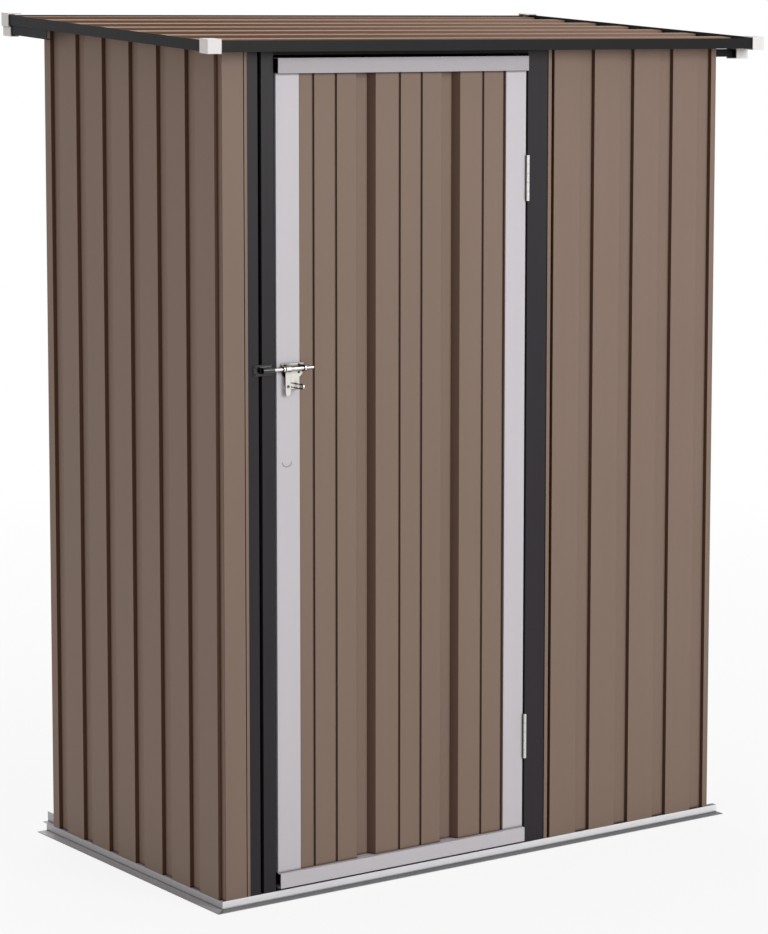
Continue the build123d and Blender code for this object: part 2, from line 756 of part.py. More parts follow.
# Latch: a plate with a bar along its top, shoulders and a narrow foot, two guides and a staple, a
# sliding bolt, a tongue that turns on the bolt, and a keeper on the post. Places run from the
# left wall.
plate_back = front_y - seat
plate_face = plate_back - latch_gauge
bolt_y = plate_face - tongue_collar - bolt_clearance
guide_reach = latch_bar_width / 2
guide_places = (latch_centre - guide_reach, latch_centre + guide_reach - guide_width)


def bridge(x, length, bore, wall):
    """Strap over the bolt: a rounded hood with a bore, standing on its plate."""
    with BuildSketch(across(x, bolt_y, latch_height)) as hood:
        Circle(bore + wall)
        Rectangle(plate_face - bolt_y, 2 * (bore + wall), align=(Align.MIN, Align.CENTER))
        Circle(bore, mode=Mode.SUBTRACT)
    extrude(hood.sketch, amount=length)


with BuildPart() as latch_plate:
    right_half = [(latch_bar_width / 2, latch_bar_above), (latch_bar_width / 2, 0)]
    right_half += [(latch_shoulder_width / 2, 0), (latch_shoulder_width / 2, -latch_shoulder_drop)]
    right_half += [(latch_neck_width / 2, -latch_neck_drop)]
    right_half += [(latch_neck_width / 2, -latch_foot_drop)]
    left_half = [(-across_plate, height) for across_plate, height in reversed(right_half)]
    with BuildSketch(endwise(left_x + latch_centre, plate_back, latch_height)):
        with BuildLine():
            Polyline(*right_half, *left_half, close=True)
        make_face()
    extrude(amount=latch_gauge)
    guide_bore = bolt_radius + bolt_clearance
    for place in guide_places:
        bridge(left_x + place, guide_width, guide_bore, guide_wall)
    staple_x = left_x + staple_place - staple_wire / 2
    staple_gap = staple_height - 2 * staple_wire
    with BuildSketch(across(staple_x, plate_back, latch_height - staple_drop)):
        Rectangle(latch_gauge + staple_reach, staple_height, align=(Align.MAX, Align.CENTER))
        with Locations((-latch_gauge - staple_reach, 0)):
            Circle(staple_height / 2)
            Circle(staple_gap / 2, mode=Mode.SUBTRACT)
        with Locations((-latch_gauge, 0)):
            Rectangle(staple_reach, staple_gap, align=(Align.MAX, Align.CENTER), mode=Mode.SUBTRACT)
    extrude(amount=staple_wire)
save(latch_plate, "latch_plate")

with BuildPart() as latch_keeper:
    with BuildSketch(endwise(left_x + keeper_place, plate_back, latch_height)):
        Rectangle(keeper_width, keeper_height, align=(Align.MIN, Align.CENTER))
    extrude(amount=latch_gauge)
    keeper_bore = bolt_radius + keeper_clearance
    hood_place = keeper_place + keeper_width - keeper_bridge
    bridge(left_x + hood_place, keeper_bridge, keeper_bore, keeper_wall)
save(latch_keeper, "latch_keeper")

with BuildPart() as bolt_rod:
    with BuildSketch(across(left_x + bolt_place, bolt_y, latch_height)):
        Circle(bolt_radius)
    extrude(amount=bolt_length - bolt_tip_length)
    with BuildSketch(across(left_x + bolt_place, bolt_y, latch_height)):
        Circle(bolt_tip_radius)
    extrude(amount=bolt_length)
save(bolt_rod, "bolt_rod")

tongue_centre = tongue_width / 2
with BuildPart() as bolt_tongue:
    with BuildSketch(across(left_x + tongue_place, bolt_y, latch_height)):
        Circle(tongue_collar)
    extrude(amount=tongue_width)
    blade_front = bolt_y - tongue_gauge / 2
    with BuildSketch(endwise(left_x + tongue_place, blade_front + tongue_gauge, latch_height)):
        Rectangle(tongue_width, tongue_length - tongue_centre, align=(Align.MIN, Align.MAX))
        with Locations((tongue_centre, tongue_centre - tongue_length)):
            Circle(tongue_centre)
        with Locations((tongue_centre, -tongue_hole_drop)):
            Circle(tongue_hole, mode=Mode.SUBTRACT)
    extrude(amount=tongue_gauge)
    with BuildSketch(across(left_x + tongue_place, bolt_y, latch_height)):
        Circle(bolt_radius + bolt_clearance)
    extrude(amount=tongue_width, mode=Mode.SUBTRACT)
save(bolt_tongue, "bolt_tongue")
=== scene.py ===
from math import cos, pi, sin

import bmesh
import bpy
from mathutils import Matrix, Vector


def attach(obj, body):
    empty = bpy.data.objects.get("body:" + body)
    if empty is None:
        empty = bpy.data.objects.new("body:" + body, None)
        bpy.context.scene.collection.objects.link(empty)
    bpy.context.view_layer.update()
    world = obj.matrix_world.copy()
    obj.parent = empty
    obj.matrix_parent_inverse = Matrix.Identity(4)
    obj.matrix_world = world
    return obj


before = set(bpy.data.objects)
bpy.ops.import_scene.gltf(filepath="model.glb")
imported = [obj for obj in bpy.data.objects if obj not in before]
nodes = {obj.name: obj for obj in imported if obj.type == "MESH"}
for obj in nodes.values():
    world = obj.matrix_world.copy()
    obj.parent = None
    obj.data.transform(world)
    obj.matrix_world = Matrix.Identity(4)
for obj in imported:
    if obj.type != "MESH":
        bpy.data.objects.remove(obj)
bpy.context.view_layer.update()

scene = bpy.context.scene

# Walls. Thin steel sheets, coil-coated brown before they are rolled into ribs. The coating is
# satin, with a very fine orange peel. The flanks of the ribs are given a darker brown than the
# flats, as painted shade for the little light that gets in beside them.


def tone(red, green, blue):
    """A colour given as it looks on screen, 0 to 255, as the linear values the shaders take."""
    parts = []
    for part in (red, green, blue):
        part = part / 255
        parts.append(part / 12.92 if part <= 0.04045 else ((part + 0.055) / 1.055) ** 2.4)
    return (*parts, 1)


def new_group(name, inputs, outputs):
    """An empty shader group with the sockets named, and its two end nodes."""
    group = bpy.data.node_groups.new(name, "ShaderNodeTree")
    for label, kind, value in inputs:
        socket = group.interface.new_socket(label, in_out="INPUT", socket_type=kind)
        socket.default_value = value
    for label, kind in outputs:
        group.interface.new_socket(label, in_out="OUTPUT", socket_type=kind)
    start = group.nodes.new("NodeGroupInput")
    end = group.nodes.new("NodeGroupOutput")
    return group, start, end


def math_node(tree, operation, first, second=None, third=None, clamp=False):
    """A math node with its inputs linked or set."""
    node = tree.nodes.new("ShaderNodeMath")
    node.operation = operation
    node.use_clamp = clamp
    for index, value in enumerate((first, second, third)):
        if value is None:
            continue
        if isinstance(value, (int, float)):
            node.inputs[index].default_value = value
        else:
            tree.links.new(value, node.inputs[index])
    return node.outputs[0]


# Fine orange peel, cloudy tone and faint vertical rolling marks of a coil coating, with the size
# of each as repeats a metre.
cloud_scale = 3.5
rolling_scale = (60, 60, 2)
peel_scale = 900
coat_group, coat_in, coat_out = new_group(
    "coil_coat",
    (
        ("Vector", "NodeSocketVector", (0, 0, 0)),
        ("Cloud", "NodeSocketFloat", 0.06),
        ("Roughness", "NodeSocketFloat", 0.4),
        ("Spread", "NodeSocketFloat", 0.1),
    ),
    (("Tone", "NodeSocketFloat"), ("Roughness", "NodeSocketFloat"), ("Height", "NodeSocketFloat")),
)
clouds = coat_group.nodes.new("ShaderNodeTexNoise")
clouds.inputs["Scale"].default_value = cloud_scale
clouds.inputs["Detail"].default_value = 4
stretched = coat_group.nodes.new("ShaderNodeMapping")
stretched.inputs["Scale"].default_value = rolling_scale
rolling = coat_group.nodes.new("ShaderNodeTexNoise")
rolling.inputs["Scale"].default_value = 1
rolling.inputs["Detail"].default_value = 3
peel = coat_group.nodes.new("ShaderNodeTexNoise")
peel.inputs["Scale"].default_value = peel_scale
peel.inputs["Detail"].default_value = 2
for texture in (clouds, stretched, peel):
    coat_group.links.new(coat_in.outputs["Vector"], texture.inputs["Vector"])
coat_group.links.new(stretched.outputs[0], rolling.inputs["Vector"])
mixed = math_node(coat_group, "ADD", clouds.outputs[0], rolling.outputs[0])
swing = math_node(coat_group, "MULTIPLY_ADD", mixed, 1.0, -1.0)
coat_group.links.new(
    math_node(coat_group, "MULTIPLY_ADD", swing, coat_in.outputs["Cloud"], 1.0),
    coat_out.inputs["Tone"],
)
coat_group.links.new(
    math_node(
        coat_group, "MULTIPLY_ADD", swing, coat_in.outputs["Spread"], coat_in.outputs["Roughness"]
    ),
    coat_out.inputs["Roughness"],
)
coat_group.links.new(peel.outputs[0], coat_out.inputs["Height"])

# The small radius of every fold, and a mask that is high along it for a painted highlight.
# A higher gain brings the mask to 1 sooner as the fold turns away from its face.
edge_gain = 4.0
edge_samples = 6
fold_group, fold_in, fold_out = new_group(
    "fold_edge",
    (("Radius", "NodeSocketFloat", 0.0012),),
    (("Normal", "NodeSocketVector"), ("Edge", "NodeSocketFloat")),
)
rounding = fold_group.nodes.new("ShaderNodeBevel")
rounding.samples = edge_samples
face = fold_group.nodes.new("ShaderNodeNewGeometry")
likeness = fold_group.nodes.new("ShaderNodeVectorMath")
likeness.operation = "DOT_PRODUCT"
fold_group.links.new(fold_in.outputs["Radius"], rounding.inputs["Radius"])
fold_group.links.new(rounding.outputs[0], likeness.inputs[0])
fold_group.links.new(face.outputs["True Normal"], likeness.inputs[1])
fold_group.links.new(rounding.outputs[0], fold_out.inputs["Normal"])
fold_group.links.new(
    math_node(
        fold_group, "MULTIPLY_ADD", likeness.outputs["Value"], -edge_gain, edge_gain, clamp=True
    ),
    fold_out.inputs["Edge"],
)

# Which faces turn away from the flat of the sheet: 0 on the flats, 1 on the rib flanks. The faces
# it picks get painted shade, and on the plating a painted reflection. A direction along the flat's
# normal gives the start less the gain, which is below 0.
flank_gain = 1.6
flank_start = 1.45
flank_group, flank_in, flank_out = new_group(
    "rib_flank",
    (("Flat", "NodeSocketVector", (1, 0, 0)),),
    (("Flank", "NodeSocketFloat"),),
)
turned = flank_group.nodes.new("ShaderNodeTexCoord")
facing = flank_group.nodes.new("ShaderNodeVectorMath")
facing.operation = "DOT_PRODUCT"
flank_group.links.new(turned.outputs["Normal"], facing.inputs[0])
flank_group.links.new(flank_in.outputs["Flat"], facing.inputs[1])
flat_share = math_node(flank_group, "ABSOLUTE", facing.outputs["Value"])
flank_group.links.new(
    math_node(flank_group, "MULTIPLY_ADD", flat_share, -flank_gain, flank_start, clamp=True),
    flank_out.inputs["Flank"],
)

# Painted shade, darkening the corners where two faces or two pieces meet.
corner_gain = 2.6
corner_start = 2.4
corner_samples = 6
corner_group, corner_in, corner_out = new_group(
    "painted_corner_shade",
    (("Distance", "NodeSocketFloat", 0.01), ("Strength", "NodeSocketFloat", 0.7)),
    (("Corner", "NodeSocketFloat"),),
)
nearby = corner_group.nodes.new("ShaderNodeAmbientOcclusion")
nearby.samples = corner_samples
corner_group.links.new(corner_in.outputs["Distance"], nearby.inputs["Distance"])
covered = math_node(corner_group, "MULTIPLY_ADD", nearby.outputs["AO"], -corner_gain, corner_start,
                    clamp=True)
corner_group.links.new(
    math_node(corner_group, "MULTIPLY", covered, corner_in.outputs["Strength"]),
    corner_out.inputs["Corner"],
)


def placed(tree, group, **values):
    """The group as a node in a material, with its inputs set."""
    node = tree.nodes.new("ShaderNodeGroup")
    node.node_tree = group
    for label, value in values.items():
        node.inputs[label.replace("_", " ")].default_value = value
    return node


def mix_colour(tree, share, first, second, blend="MIX"):
    """A colour mix, with each end linked or set."""
    node = tree.nodes.new("ShaderNodeMix")
    node.data_type = "RGBA"
    node.blend_type = blend
    for index, value in ((0, share), (6, first), (7, second)):
        socket = node.inputs[index]
        if isinstance(value, (int, float, tuple)):
            socket.default_value = value
        else:
            tree.links.new(value, socket)
    return node.outputs[2]


# The painted shade on the flanks of a piece may change colour along it: the share of the second
# colour at the middle of the shed, and how much it grows in a metre to the right.
right_share = 0.4
right_growth = 0.9


def coated(name, colour, fold_highlight, corner_shade, roughness, spread=0.12, cloud=0.06, radius=0.0012, bump=0.03,
           flat=None, flank=None, metallic=0.0, coat=0.0, highlight_share=0.35, reach=0.006, shade=0.7,
           specular=0.15, right_flank=None):
    """A painted or plated sheet: coating grain, soft folds with a painted highlight, and painted
    shade on the rib flanks and in the corners. The painted flank shade may change colour towards
    the right end of the piece."""
    material = bpy.data.materials.new(name)
    material.use_nodes = True
    tree = material.node_tree
    shader = tree.nodes["Principled BSDF"]
    place = tree.nodes.new("ShaderNodeTexCoord")
    grain = placed(tree, coat_group, Cloud=cloud, Roughness=roughness, Spread=spread)
    fold = placed(tree, fold_group, Radius=radius)
    tree.links.new(place.outputs["Object"], grain.inputs["Vector"])
    base = colour
    if flank:
        sides = placed(tree, flank_group, Flat=flat)
        if right_flank:
            along = tree.nodes.new("ShaderNodeSeparateXYZ")
            tree.links.new(place.outputs["Object"], along.inputs[0])
            far = math_node(tree, "MULTIPLY_ADD", along.outputs["X"], right_growth, right_share,
                            clamp=True)
            flank = mix_colour(tree, far, flank, right_flank)
        base = mix_colour(tree, sides.outputs["Flank"], colour, flank)
    corners = placed(tree, corner_group, Distance=reach, Strength=shade)
    # Painted shade: the colour darkens towards a dark one in the corners.
    base = mix_colour(tree, corners.outputs["Corner"], base, corner_shade)
    toned = mix_colour(tree, 1.0, base, grain.outputs["Tone"], "MULTIPLY")
    # Painted highlight: the folds are lightened towards a paler colour.
    edge_highlight = math_node(tree, "MULTIPLY", fold.outputs["Edge"], highlight_share)
    tree.links.new(mix_colour(tree, edge_highlight, toned, fold_highlight), shader.inputs["Base Color"])
    tree.links.new(grain.outputs["Roughness"], shader.inputs["Roughness"])
    shader.inputs["Metallic"].default_value = metallic
    shader.inputs["Coat Weight"].default_value = coat
    shader.inputs["Specular IOR Level"].default_value = specular
    relief = tree.nodes.new("ShaderNodeBump")
    relief.inputs["Strength"].default_value = bump
    relief.inputs["Distance"].default_value = 0.0005
    tree.links.new(grain.outputs["Height"], relief.inputs["Height"])
    tree.links.new(fold.outputs["Normal"], relief.inputs["Normal"])
    tree.links.new(relief.outputs["Normal"], shader.inputs["Normal"])
    return material


def dress(material, *names):
    """The material on CAD nodes that keep their own shape."""
    for name in names:
        mesh = nodes[name].data
        mesh.materials.clear()
        mesh.materials.append(material)


brown = tone(134, 114, 102)
brown_highlight = tone(164, 144, 132)
# Painted shade: the rib flanks of the sheets take this darker brown.
brown_flank_shade = tone(84, 58, 43)
# Painted shade in the corners of the brown sheets.
brown_corner_shade = tone(44, 29, 21)
side_sheet = coated("brown_side_sheet", brown, brown_highlight, brown_corner_shade, 0.45, flat=(1, 0, 0),
                    flank=brown_flank_shade)
front_sheet = coated("brown_front_sheet", brown, brown_highlight, brown_corner_shade, 0.45, flat=(0, 1, 0),
                     flank=brown_flank_shade)
dress(side_sheet, "left_wall", "right_wall")
dress(front_sheet, "front_wall_right", "front_corner_panel", "rear_wall_left", "rear_wall_right")

# Roof. Two sheets of the same coated steel with the ribs from side to side, one lapped over the
# other. Dark folded rails hold them along the four edges, and a beam stiffens them below the lap.

square_to_roof = (0, -0.0632, 0.998)
# Painted shade on the roof's rib flanks, lighter towards the right end.
roof_sheet = coated("brown_roof_sheet", tone(150, 123, 105), brown_highlight, brown_corner_shade, 0.6,
                    flat=square_to_roof, flank=tone(108, 78, 58), specular=0.08, shade=0.4,
                    right_flank=tone(142, 116, 102))
dress(roof_sheet, "roof_sheet_front", "roof_sheet_rear")

# Painted shade in the corners of the charcoal pieces.
charcoal_corner_shade = tone(8, 7, 8)
# Painted shade: the rails are given a darker charcoal than the door posts.
rail_painted_shade = coated("charcoal_rail_painted_shade", tone(21, 19, 20), tone(66, 63, 65), charcoal_corner_shade, 0.45,
                   cloud=0.1, radius=0.001)
dress(rail_painted_shade, "roof_rail_front", "roof_rail_rear", "roof_rail_left", "roof_rail_right",
      "top_rail_front", "rear_left_rail_stub")

# Door posts and head. Folded charcoal steel posts stand on both sides of the doorway, with a folded
# head between them. The left post has a deep groove down its face.

dark_frame = coated("charcoal_coat", tone(39, 36, 39), tone(92, 90, 94), charcoal_corner_shade, 0.42,
                    cloud=0.1, radius=0.001, specular=0.2, reach=0.003, shade=0.9)
# Painted shade: the head is given near black, darker than the posts, for the shade under the roof's
# front rail.
head_painted_shade = coated("charcoal_head_painted_shade", tone(12, 11, 12), tone(48, 46, 47), charcoal_corner_shade, 0.5,
                   cloud=0.1, radius=0.001)
dress(dark_frame, "door_post_left", "door_post_right")
dress(head_painted_shade, "door_head")

# Inside frame. Bare galvanised angles and channels hold the sheets together from the inside: corner
# posts, top rails, the middle rails and the roof beam. Zinc spangle shows on them.

spangle_scale = 110
zinc = bpy.data.materials.new("zinc_spangle")
zinc.use_nodes = True
zinc_tree = zinc.node_tree
zinc_shader = zinc_tree.nodes["Principled BSDF"]
zinc_place = zinc_tree.nodes.new("ShaderNodeTexCoord")
spangle = zinc_tree.nodes.new("ShaderNodeTexVoronoi")
spangle.inputs["Scale"].default_value = spangle_scale
zinc_grain = placed(zinc_tree, coat_group, Cloud=0.12, Roughness=0.42, Spread=0.15)
zinc_fold = placed(zinc_tree, fold_group, Radius=0.001)
zinc_tree.links.new(zinc_place.outputs["Object"], spangle.inputs["Vector"])
zinc_tree.links.new(zinc_place.outputs["Object"], zinc_grain.inputs["Vector"])
crystal = zinc_tree.nodes.new("ShaderNodeSeparateColor")
zinc_tree.links.new(spangle.outputs["Color"], crystal.inputs[0])
zinc_base = mix_colour(zinc_tree, crystal.outputs[0], tone(150, 152, 155), tone(186, 188, 190))
zinc_toned = mix_colour(zinc_tree, 1.0, zinc_base, zinc_grain.outputs["Tone"], "MULTIPLY")
zinc_tree.links.new(zinc_toned, zinc_shader.inputs["Base Color"])
zinc_tree.links.new(
    math_node(zinc_tree, "MULTIPLY_ADD", crystal.outputs[1], 0.14, zinc_grain.outputs["Roughness"]),
    zinc_shader.inputs["Roughness"],
)
zinc_shader.inputs["Metallic"].default_value = 0.75
zinc_bump = zinc_tree.nodes.new("ShaderNodeBump")
zinc_bump.inputs["Strength"].default_value = 0.05
zinc_bump.inputs["Distance"].default_value = 0.0004
zinc_tree.links.new(zinc_grain.outputs["Height"], zinc_bump.inputs["Height"])
zinc_tree.links.new(zinc_fold.outputs["Normal"], zinc_bump.inputs["Normal"])
zinc_tree.links.new(zinc_bump.outputs["Normal"], zinc_shader.inputs["Normal"])
dress(zinc, "corner_post_front_left", "corner_post_front_right", "corner_post_rear_left",
      "corner_post_rear_right", "top_rail_left", "top_rail_right", "top_rail_rear",
      "mid_rail_left", "mid_rail_right", "mid_rail_rear", "roof_beam")

# Base rails. Four rails of pale galvanised steel lie on the ground: a flange outside, a low web and
# a ledge that the wall sheets stand on.

# Painted shade in the corners of the base rails.
zinc_corner_shade = tone(50, 48, 48)
# Painted light and shade: the four rails share one finish, but the front rail is given near white
# and the other three a duller grey. The front rail's flange and ledge get a dark painted shade.
front_rail_painted_light = coated("galvanised_painted_light", tone(252, 251, 253), tone(254, 254, 255), zinc_corner_shade,
                         0.35, cloud=0.08, radius=0.0008, metallic=0.1, reach=0.004, shade=0.85,
                         flat=(0, 1, 0), flank=tone(88, 87, 89), specular=0.3)
between_sides = (0.7071, 0.7071, 0)
# The side rails' flanges and ledges get a barely darker painted shade.
side_rail_painted_shade = coated("galvanised_painted_shade", tone(184, 183, 186), tone(216, 215, 218), zinc_corner_shade,
                        0.36, cloud=0.1, radius=0.0008, metallic=0.2, reach=0.004, shade=0.85,
                        flat=between_sides, flank=tone(182, 181, 184), specular=0.3)
dress(front_rail_painted_light, "base_rail_front")
dress(side_rail_painted_shade, "base_rail_left", "base_rail_rear", "base_rail_right")

# Door. A ribbed brown sheet held by two light grey stiles and by top and bottom rails that stand
# proud of them, with a cross rail behind the sheet.

# Painted shade: the valley flanks of the door sheet take a dark, red brown.
door_sheet = coated("brown_door_sheet", brown, brown_highlight, brown_corner_shade, 0.45, flat=(0, 1, 0),
                    flank=tone(76, 49, 33))
dress(door_sheet, "door_sheet")
door_grey = coated("light_grey_coat", tone(203, 199, 204), tone(228, 226, 230), tone(60, 56, 60),
                   0.4, cloud=0.04, radius=0.001, specular=0.3)
# Painted shade: the top rail is given a darker grey than the stiles, for the shade under the roof's
# overhang.
shaded_grey = coated("shaded_grey_coat", tone(178, 174, 178), tone(216, 214, 217), tone(60, 56, 60),
                     0.4, cloud=0.04, radius=0.001, specular=0.3)
dress(door_grey, "door_stile_left", "door_stile_right", "door_rail_bottom", "door_brace")
dress(shaded_grey, "door_rail_top")

# Pressed mark. A shallow U is pressed out of the left stile below the latch. It is a thin round
# bead swept along the U, with closed and thinner ends, sunk to half its depth in the stile.

# Painted shade: the mark is given a darker grey than the stile it is pressed from.
mark_painted_shade = coated("stile_grey_painted_shade", tone(172, 168, 172), tone(214, 211, 215), tone(60, 56, 60),
                   0.4, cloud=0.04, radius=0.0004, reach=0.003, specular=0.3)
bead_sides = 12
bead_depth = 0.9
bead_end = 0.6
mark_path = ((-11, 6), (-10.8, 2.5), (-9.5, -0.5), (-6, -2.6), (-2, -4.2), (3, -3.4), (7, -2.8),
             (9.8, -0.8), (11, 2.5), (11, 6.5))
mark_place = (-0.5215, -0.37815, 0.925)
mark_mesh = bpy.data.meshes.new("stile_mark")
shape = bmesh.new()
bead = []
for number, (across, up) in enumerate(mark_path):
    ahead = Vector(mark_path[min(number + 1, len(mark_path) - 1)])
    behind = Vector(mark_path[max(number - 1, 0)])
    run = (ahead - behind).normalized()
    reach = 1.0 if 0 < number < len(mark_path) - 1 else bead_end
    ring = []
    for step in range(bead_sides):
        turn = 2 * pi * step / bead_sides
        aside = reach * cos(turn)
        ring.append(shape.verts.new((
            mark_place[0] + (across - run.y * aside) / 1000,
            mark_place[1] - bead_depth * reach * sin(turn) / 1000,
            mark_place[2] + (up + run.x * aside) / 1000,
        )))
    bead.append(ring)
for before, after in zip(bead, bead[1:]):
    for step in range(bead_sides):
        following = (step + 1) % bead_sides
        shape.faces.new((before[step], before[following], after[following], after[step]))
shape.faces.new(bead[0])
shape.faces.new(bead[-1])
bmesh.ops.recalc_face_normals(shape, faces=shape.faces)
for skin in shape.faces:
    skin.smooth = len(skin.verts) == 4
shape.to_mesh(mark_mesh)
shape.free()
mark_mesh.materials.append(mark_painted_shade)
mark = bpy.data.objects.new("stile_mark", mark_mesh)
scene.collection.objects.link(mark)
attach(mark, "door")

# Hinges and latch. Two plated butt hinges, and a plated slide bolt on a shaped plate with a
# hanging tongue and a staple. The bolt goes into a glossy black keeper on the left post.

# Painted reflection: the plating's faces that turn away from the front take a dark grey. A wide
# painted shade darkens the plate round the rod.
plating = coated("bright_plating", tone(222, 218, 212), tone(244, 243, 240), tone(16, 15, 14),
                 0.16, spread=0.15, cloud=0.08, radius=0.0005, metallic=1.0, reach=0.01, shade=0.95,
                 flat=(0, 1, 0), flank=tone(84, 80, 76), specular=0.5)
dress(plating, "latch_plate", "bolt_rod", "bolt_tongue")
hinge_plating = coated("hinge_plating", tone(214, 211, 206), tone(244, 243, 240), tone(30, 28, 26),
                       0.2, spread=0.15, cloud=0.08, radius=0.0005, metallic=1.0, reach=0.005,
                       shade=0.9, specular=0.5)
dress(hinge_plating, "hinge_fixed_leaves", "hinge_door_leaves")
keeper_coat = coated("black_keeper_coat", tone(10, 10, 11), tone(84, 82, 80), tone(2, 2, 2),
                     0.22, spread=0.1, cloud=0.15, radius=0.0005, coat=0.5, specular=0.4)
dress(keeper_coat, "latch_keeper")

# Screw heads. Small dark pan-head screws with a cross recess hold the latch plate to the stile
# and the keeper to the post. One head is made, and Geometry Nodes put it at each screw.

screw_coat = coated("dark_screw_coat", tone(30, 28, 28), tone(120, 116, 112), tone(6, 6, 6),
                    0.3, spread=0.1, cloud=0.1, radius=0.0003, metallic=0.6, reach=0.002,
                    specular=0.5)


def screw_head_mesh(name, radius, height, slot):
    """A pan head turned about the viewing direction, with a cross pressed into it."""
    mesh = bpy.data.meshes.new(name)
    shape = bmesh.new()
    rings = ((1.0, 0.0), (1.0, 0.35), (0.86, 0.75), (0.55, 0.97), (slot, 1.0), (slot * 0.6, 0.55))
    sides = 24
    loops = []
    for ring, (reach, rise) in enumerate(rings):
        loop = []
        for number in range(sides):
            turn = 2 * pi * number / sides
            arm = 1.0 if ring < 4 else 0.72 + 0.28 * cos(4 * turn)
            loop.append(shape.verts.new((
                radius * reach * arm * cos(turn), -height * rise, radius * reach * arm * sin(turn)
            )))
        loops.append(loop)
    for inner, outer in zip(loops[1:], loops):
        for number in range(sides):
            after = (number + 1) % sides
            shape.faces.new((outer[number], outer[after], inner[after], inner[number]))
    shape.faces.new(loops[-1])
    shape.faces.new(loops[0][::-1])
    bmesh.ops.recalc_face_normals(shape, faces=shape.faces)
    shape.to_mesh(mesh)
    shape.free()
    return mesh


def screw_tree():
    """One head at each vertex of the mesh it is used on."""
    tree = bpy.data.node_groups.new("screw_heads", "GeometryNodeTree")
    tree.interface.new_socket("Places", in_out="INPUT", socket_type="NodeSocketGeometry")
    for label, kind in (("Head", "NodeSocketObject"), ("Coat", "NodeSocketMaterial")):
        tree.interface.new_socket(label, in_out="INPUT", socket_type=kind)
    for label, kind, value in (
        ("Turn", "NodeSocketFloat", 1.4),
        ("Size spread", "NodeSocketFloat", 0.04),
        ("Seed", "NodeSocketInt", 7),
    ):
        socket = tree.interface.new_socket(label, in_out="INPUT", socket_type=kind)
        socket.default_value = value
    tree.interface.new_socket("Heads", in_out="OUTPUT", socket_type="NodeSocketGeometry")
    start = tree.nodes.new("NodeGroupInput")
    end = tree.nodes.new("NodeGroupOutput")
    points = tree.nodes.new("GeometryNodeMeshToPoints")
    head = tree.nodes.new("GeometryNodeObjectInfo")
    spread = tree.nodes.new("GeometryNodeInstanceOnPoints")
    turn = tree.nodes.new("FunctionNodeRandomValue")
    size = tree.nodes.new("FunctionNodeRandomValue")
    angles = tree.nodes.new("ShaderNodeCombineXYZ")
    low = tree.nodes.new("ShaderNodeMath")
    low.operation = "SUBTRACT"
    low.inputs[0].default_value = 1.0
    real = tree.nodes.new("GeometryNodeRealizeInstances")
    coat = tree.nodes.new("GeometryNodeSetMaterial")
    for first, second in (
        (start.outputs["Places"], points.inputs["Mesh"]),
        (points.outputs["Points"], spread.inputs["Points"]),
        (start.outputs["Head"], head.inputs["Object"]),
        (head.outputs["Geometry"], spread.inputs["Instance"]),
        (start.outputs["Turn"], turn.inputs[3]),
        (start.outputs["Seed"], turn.inputs["Seed"]),
        (start.outputs["Seed"], size.inputs["Seed"]),
        (start.outputs["Size spread"], low.inputs[1]),
        (low.outputs[0], size.inputs[2]),
        (turn.outputs[1], angles.inputs["Y"]),
        (angles.outputs[0], spread.inputs["Rotation"]),
        (size.outputs[1], spread.inputs["Scale"]),
        (spread.outputs["Instances"], real.inputs[0]),
        (real.outputs[0], coat.inputs["Geometry"]),
        (start.outputs["Coat"], coat.inputs["Material"]),
        (coat.outputs[0], end.inputs["Heads"]),
    ):
        tree.links.new(first, second)
    size.inputs[3].default_value = 1.0
    return tree


def screws(tree, coat, name, body, places, radius, height, slot=0.42):
    """Screw heads at the places, as one plain mesh that rides on a body."""
    head_name = name + "_head"
    head = bpy.data.objects.new(head_name, screw_head_mesh(head_name, radius, height, slot))
    marks = bpy.data.meshes.new(name + "_marks")
    marks.from_pydata(places, [], [])
    holder = bpy.data.objects.new(name, marks)
    scene.collection.objects.link(holder)
    layer = holder.modifiers.new("heads", "NODES")
    layer.node_group = tree
    sockets = {item.name: item.identifier for item in tree.interface.items_tree}
    for label, value in (
        ("Head", head), ("Coat", coat), ("Turn", 1.4), ("Size spread", 0.04), ("Seed", 7)
    ):
        layer[sockets[label]] = value
    depsgraph = bpy.context.evaluated_depsgraph_get()
    plain = bpy.data.meshes.new_from_object(holder.evaluated_get(depsgraph))
    holder.modifiers.clear()
    holder.data = plain
    plain.name = name
    bpy.data.objects.remove(head)
    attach(holder, body)


screw_heads = screw_tree()
plate_front = -0.38005
latch_holes = [(x, plate_front, z) for x in (-0.5275, -0.4925) for z in (1.118, 1.134)]
keeper_holes = [(-0.6005, plate_front, z) for z in (1.1195, 1.1345)]
screws(screw_heads, screw_coat, "latch_screws", "door", latch_holes, radius=0.0026, height=0.0011)
screws(screw_heads, screw_coat, "keeper_screws", "shed", keeper_holes, radius=0.0022, height=0.001)

# Plastic caps. Off-white moulded plastic caps close the roof corners and the ends of the two lower
# rails.

cap_plastic = coated("cap_plastic", tone(232, 229, 228), tone(246, 245, 244), tone(110, 106, 104),
                     0.5, spread=0.08, cloud=0.03, radius=0.0008, bump=0.05, highlight_share=0.5,
                     specular=0.4)
dress(cap_plastic, "plastic_caps")

# Studio. The shed stands on a pale floor in a white studio. Large soft lamps shine from the front
# right and from above behind, a weaker one from the left, and the white surroundings fill the
# rest. The floor is a little less bright near the shed, and dark under it.


def seen_ray(tree):
    """1 for what is seen directly, in gloss or through glass, 0 for the light that falls."""
    rays = tree.nodes.new("ShaderNodeLightPath")
    seen = math_node(tree, "ADD", rays.outputs["Is Camera Ray"], rays.outputs["Is Glossy Ray"])
    return math_node(tree, "ADD", seen, rays.outputs["Is Transmission Ray"], clamp=True)


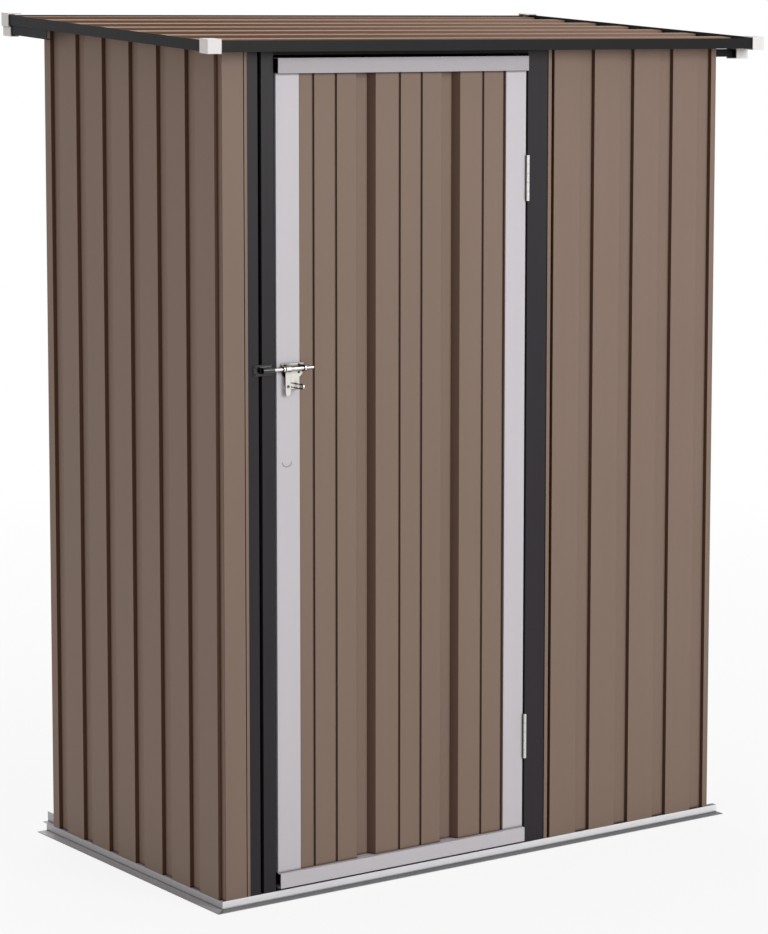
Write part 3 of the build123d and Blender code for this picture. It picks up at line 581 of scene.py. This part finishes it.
floor_grey = (0.85, 0.85, 0.85, 1)
near_share = 0.86
fade_start = 1.0
fade_length = 4.0
under_shed = (("X", -0.018, 0.6679), ("Y", -0.017, 0.3607))
floor_mesh = bpy.data.meshes.new("floor")
shape = bmesh.new()
bmesh.ops.create_grid(shape, x_segments=1, y_segments=1, size=40)
shape.to_mesh(floor_mesh)
shape.free()
floor = bpy.data.objects.new("floor", floor_mesh)
scene.collection.objects.link(floor)
floor_coat = bpy.data.materials.new("studio_floor")
floor_coat.use_nodes = True
floor_tree = floor_coat.node_tree
floor_tree.nodes.clear()
matt = floor_tree.nodes.new("ShaderNodeBsdfDiffuse")
matt.inputs["Color"].default_value = floor_grey
glow = floor_tree.nodes.new("ShaderNodeEmission")
shown = floor_tree.nodes.new("ShaderNodeMixShader")
floor_end = floor_tree.nodes.new("ShaderNodeOutputMaterial")
spot = floor_tree.nodes.new("ShaderNodeTexCoord")
away = floor_tree.nodes.new("ShaderNodeVectorMath")
away.operation = "LENGTH"
floor_tree.links.new(spot.outputs["Object"], away.inputs[0])
fade = math_node(floor_tree, "MULTIPLY_ADD", away.outputs["Value"], 1 / fade_length,
                 -fade_start / fade_length, clamp=True)
share = math_node(floor_tree, "MULTIPLY_ADD", fade, 1 - near_share, near_share)
floor_place = floor_tree.nodes.new("ShaderNodeSeparateXYZ")
floor_tree.links.new(spot.outputs["Object"], floor_place.inputs[0])
beyond = []
for axis, middle, half in under_shed:
    aside = math_node(floor_tree, "SUBTRACT", floor_place.outputs[axis], middle)
    aside = math_node(floor_tree, "ABSOLUTE", aside)
    beyond.append(math_node(floor_tree, "GREATER_THAN", aside, half))
outside = math_node(floor_tree, "MAXIMUM", *beyond)
share = math_node(floor_tree, "MULTIPLY", share, outside)
floor_tree.links.new(
    math_node(floor_tree, "MULTIPLY", seen_ray(floor_tree), share), shown.inputs[0]
)
floor_tree.links.new(matt.outputs[0], shown.inputs[1])
floor_tree.links.new(glow.outputs[0], shown.inputs[2])
floor_tree.links.new(shown.outputs[0], floor_end.inputs["Surface"])
floor_mesh.materials.append(floor_coat)

world = bpy.data.worlds.new("studio")
scene.world = world
world.use_nodes = True
world_tree = world.node_tree
sky = world_tree.nodes["Background"]
sky.inputs["Color"].default_value = (1, 1, 1, 1)
fill = 0.42
world_tree.links.new(
    math_node(world_tree, "MULTIPLY_ADD", seen_ray(world_tree), 1 - fill, fill),
    sky.inputs["Strength"],
)

for name, place, target, size, power, light in (
    ("key_lamp", (1.6, -5.6, 3.0), (0, 0, 0.9), 2.6, 168, (1, 1, 1)),
    ("left_lamp", (-5.0, -0.6, 2.2), (0, 0, 0.9), 2.4, 26, (1, 0.88, 0.8)),
    ("roof_lamp", (0.4, 2.6, 4.6), (0, 0, 1.8), 2.2, 72, (1, 1, 1)),
):
    lamp_data = bpy.data.lights.new(name, "AREA")
    lamp_data.shape = "SQUARE"
    lamp_data.size = size
    lamp_data.energy = power
    lamp_data.color = light
    lamp = bpy.data.objects.new(name, lamp_data)
    scene.collection.objects.link(lamp)
    lamp.location = place
    lamp.rotation_euler = (Vector(target) - Vector(place)).to_track_quat("-Z", "Y").to_euler()

# Camera. The shed is seen from its front left through a long lens, from about the height of its
# roof. The camera looks down a little, and the rest of the framing is a small shift.

tilt_down = 0.1118
turn_right = 0.6102
camera_data = bpy.data.cameras.new("camera")
camera = bpy.data.objects.new("camera", camera_data)
scene.collection.objects.link(camera)
camera.location = (-3.9199, -5.5446, 1.8456)
camera.rotation_euler = (pi / 2 - tilt_down, 0, -turn_right)
camera_data.lens = 115.5
camera_data.shift_x = 0.0138
camera_data.shift_y = -0.118
camera_data.clip_end = 100
scene.camera = camera

scene.view_settings.view_transform = "Standard"
